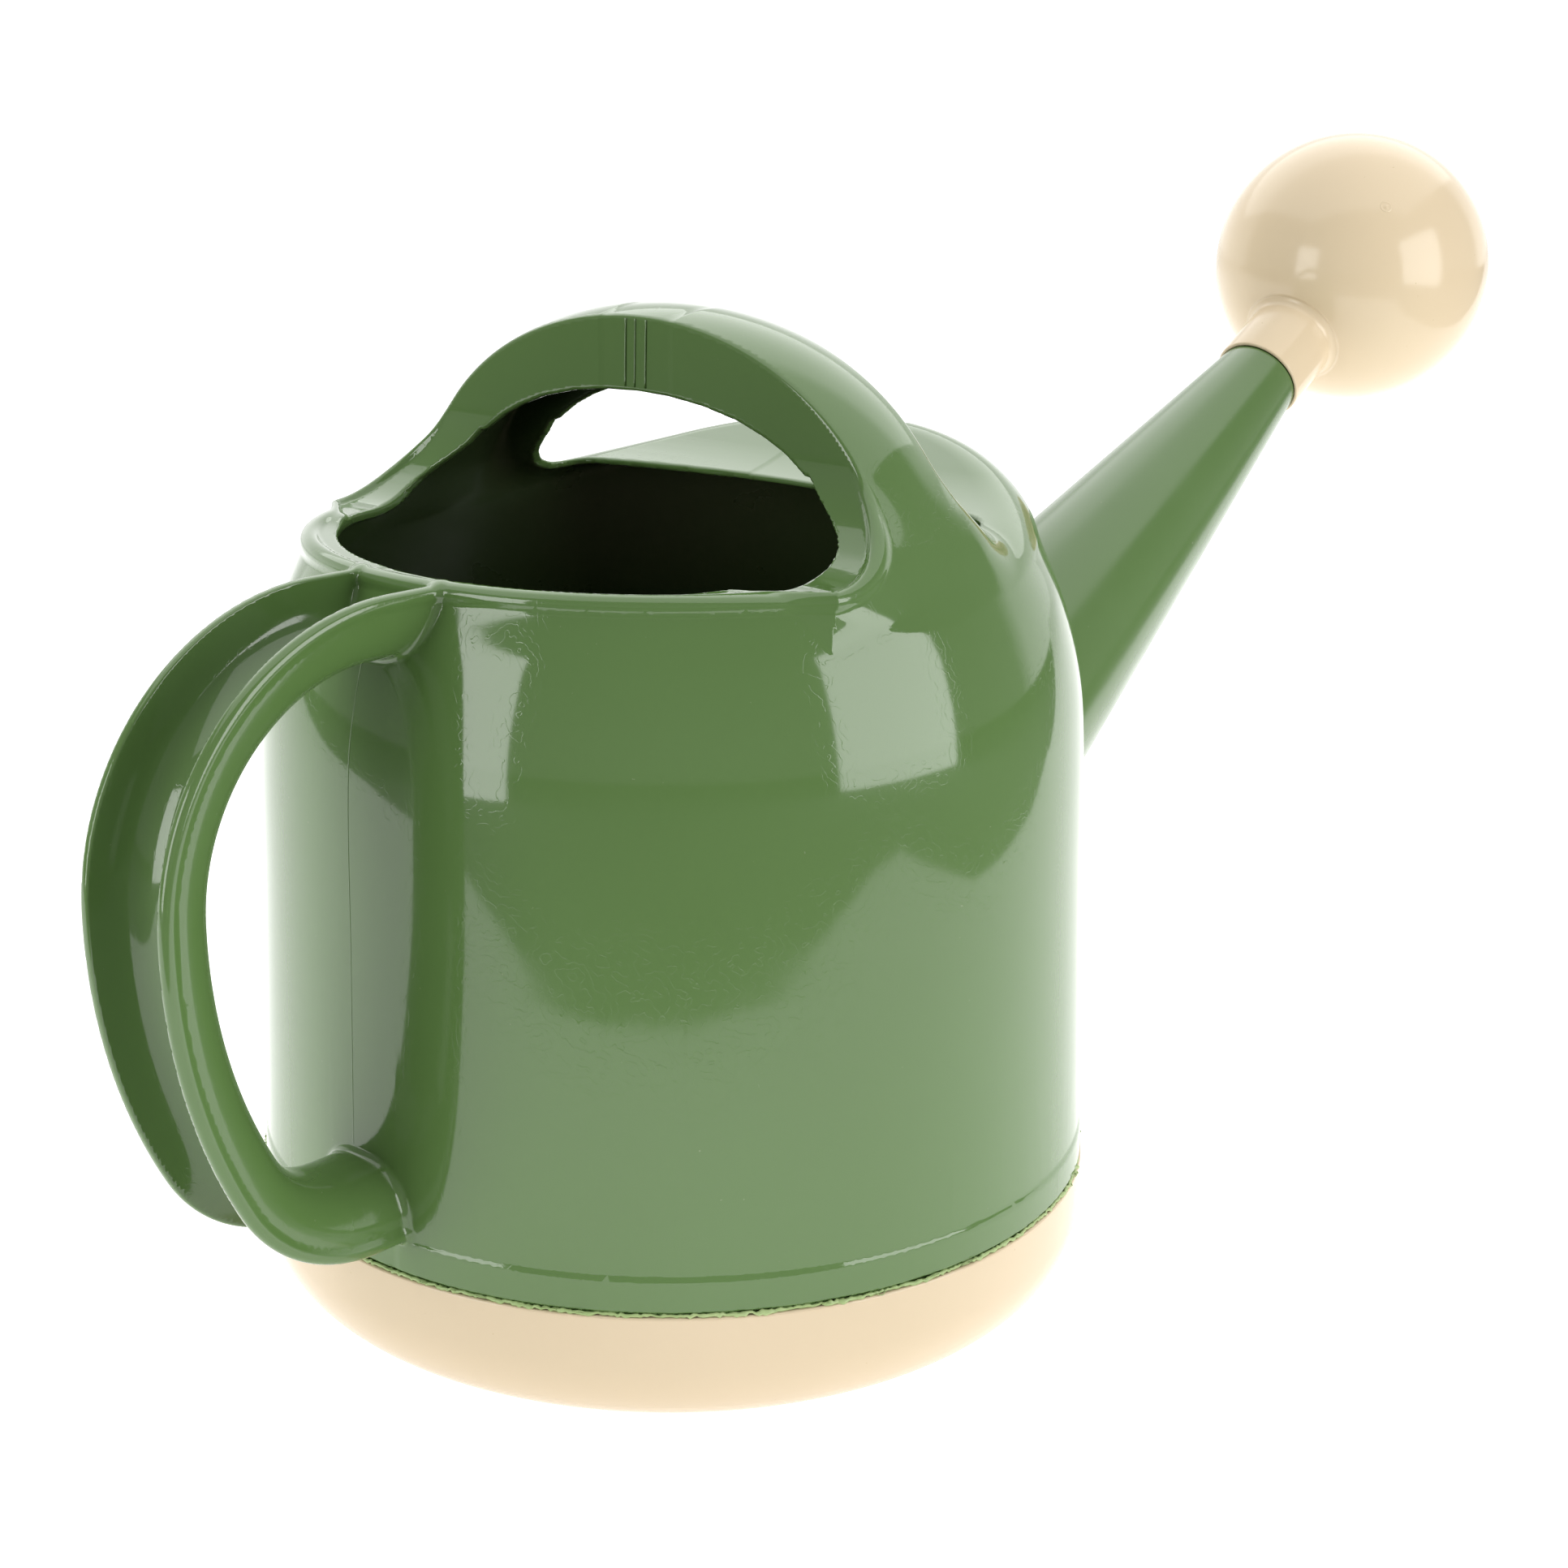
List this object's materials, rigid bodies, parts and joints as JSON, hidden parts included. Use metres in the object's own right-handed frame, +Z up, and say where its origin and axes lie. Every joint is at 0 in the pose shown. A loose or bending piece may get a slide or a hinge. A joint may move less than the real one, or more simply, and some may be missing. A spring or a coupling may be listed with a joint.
{
  "type": "watering can",
  "caption": "Round plastic watering can with an arched carrying bail, an open rear handle, a tapered spout and a ball rose that turns and pulls off.",
  "frame": {"origin": "centre of the base's underside, on the axis of the round tank", "axes": "+Z up, +X towards the spout, the rear handle at -X, +Y to the left of someone pouring"},
  "size_m": [0.5259, 0.2044, 0.2706],
  "materials": {
    "green_plastic": "glossy injection-moulded leaf green",
    "cream_plastic": "glossy injection-moulded cream",
    "seal_rubber": "soft black rubber"
  },
  "bodies": {
    "can": {"body_shell": "green_plastic", "top_bail": "green_plastic", "rear_handle": "green_plastic", "base_cup": "cream_plastic", "spout": "green_plastic"},
    "seal_ring": {"rose_seal": "seal_rubber"},
    "rose": {"rose_shell": "cream_plastic", "rose_face": "cream_plastic"}
  },
  "joints": [
    {"name": "rose_turn", "type": "hinge", "parent": "can", "child": "seal_ring", "pos_m": [0.2658, 0, 0.1954], "axis": [0.866, 0, 0.5], "continuous": true},
    {"name": "rose_pull", "type": "slide", "parent": "seal_ring", "child": "rose", "axis": [0.866, 0, 0.5], "range_m": [0, 0.06]}
  ]
}
